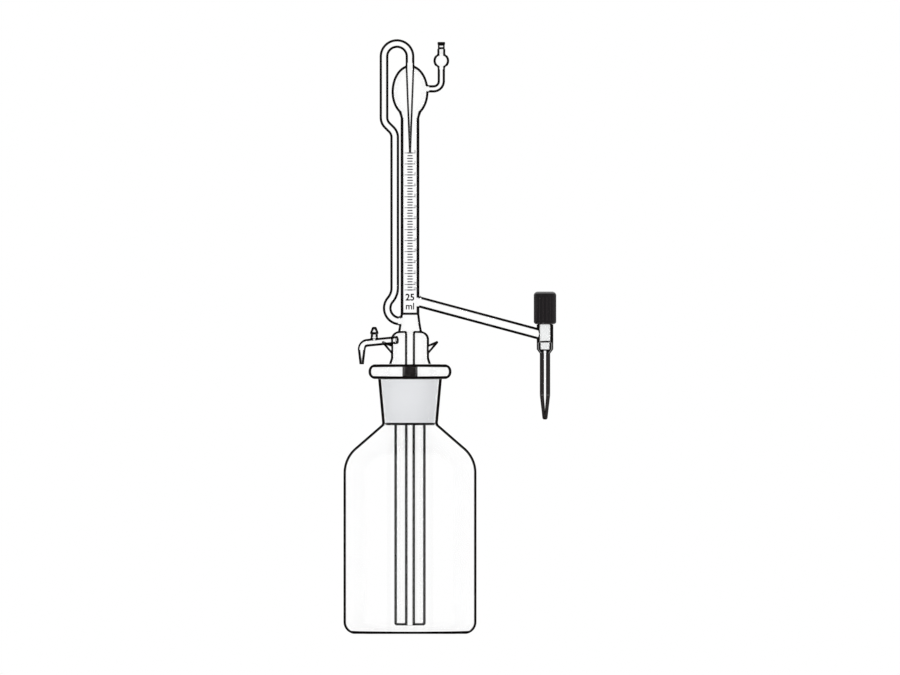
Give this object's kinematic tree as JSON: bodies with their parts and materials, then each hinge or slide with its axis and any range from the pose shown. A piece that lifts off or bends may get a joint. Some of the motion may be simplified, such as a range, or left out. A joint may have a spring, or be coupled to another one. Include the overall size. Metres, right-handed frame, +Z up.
{
  "type": "automatic zero burette",
  "caption": "Glass burette that fills from a reservoir bottle through a riser to a fixed zero jet, with a side arm and a screw valve.",
  "frame": {"origin": "centre of the bottle's resting ring, on the surface it stands on", "axes": "+Z up along the bottle and burette axis; +X from that axis towards the outlet valve; -Y is the side with the scale"},
  "size_m": [0.2128, 0.133, 0.5948],
  "materials": {
    "clear_glass": "clear flame-polished borosilicate glass",
    "ground_glass": "matt ground glass",
    "capillary_glass": "thick-walled glass that looks dark at its sides",
    "black_rubber": "matt black rubber",
    "clear_silicone": "soft translucent silicone",
    "white_fluoroplastic": "satin off-white plastic",
    "black_plastic": "moulded black plastic with fine flutes",
    "grey_enamel": "fired grey enamel lines"
  },
  "bodies": {
    "reservoir": {"reservoir_bottle": "clear_glass"},
    "drop_line": {"rubber_sleeve": "black_rubber", "drop_tube": "clear_glass", "drop_jacket": "clear_glass"},
    "burette_head": {"ground_cone": "ground_glass", "bell": "clear_glass", "retaining_hooks": "clear_glass", "air_inlet_tube": "clear_glass", "neck_chamber": "clear_glass", "feed_tube": "clear_glass", "riser_tube": "clear_glass", "zero_bulb": "clear_glass", "zero_jet": "clear_glass", "graduated_tube": "clear_glass", "graduation_scale": "grey_enamel", "guard_tube": "clear_glass", "side_arm": "clear_glass", "valve_barrel": "clear_glass", "delivery_tip": "capillary_glass"},
    "vent_cap": {"vent_cap": "clear_silicone"},
    "guard_stopper": {"guard_stopper": "clear_silicone"},
    "valve_seals": {"spindle_seals": "black_rubber"},
    "valve_stem": {"valve_spindle": "white_fluoroplastic", "valve_knob": "black_plastic"}
  },
  "joints": [
    {"name": "head_lift", "type": "slide", "parent": "reservoir", "child": "drop_line", "axis": [0, 0, 1], "range_m": [0, 0.265]},
    {"name": "head_swivel", "type": "hinge", "parent": "drop_line", "child": "burette_head", "pos_m": [0, 0, 0.26], "axis": [0, 0, 1], "continuous": true},
    {"name": "vent_cap_lift", "type": "slide", "parent": "burette_head", "child": "vent_cap", "axis": [0, 0, 1], "range_m": [0, 0.015]},
    {"name": "stopper_lift", "type": "slide", "parent": "burette_head", "child": "guard_stopper", "axis": [0, 0, 1], "range_m": [0, 0.02]},
    {"name": "spindle_lift", "type": "slide", "parent": "burette_head", "child": "valve_seals", "axis": [0, 0, 1], "range_m": [0, 0.00501]},
    {"name": "knob_turn", "type": "hinge", "parent": "valve_seals", "child": "valve_stem", "pos_m": [0.135, 0, 0.32], "axis": [0, 0, -1], "range_deg": [-720, 0]}
  ],
  "couplings": [
    {"joint": "spindle_lift", "follows": "knob_turn", "m_per_rad": -0.00039789}
  ]
}
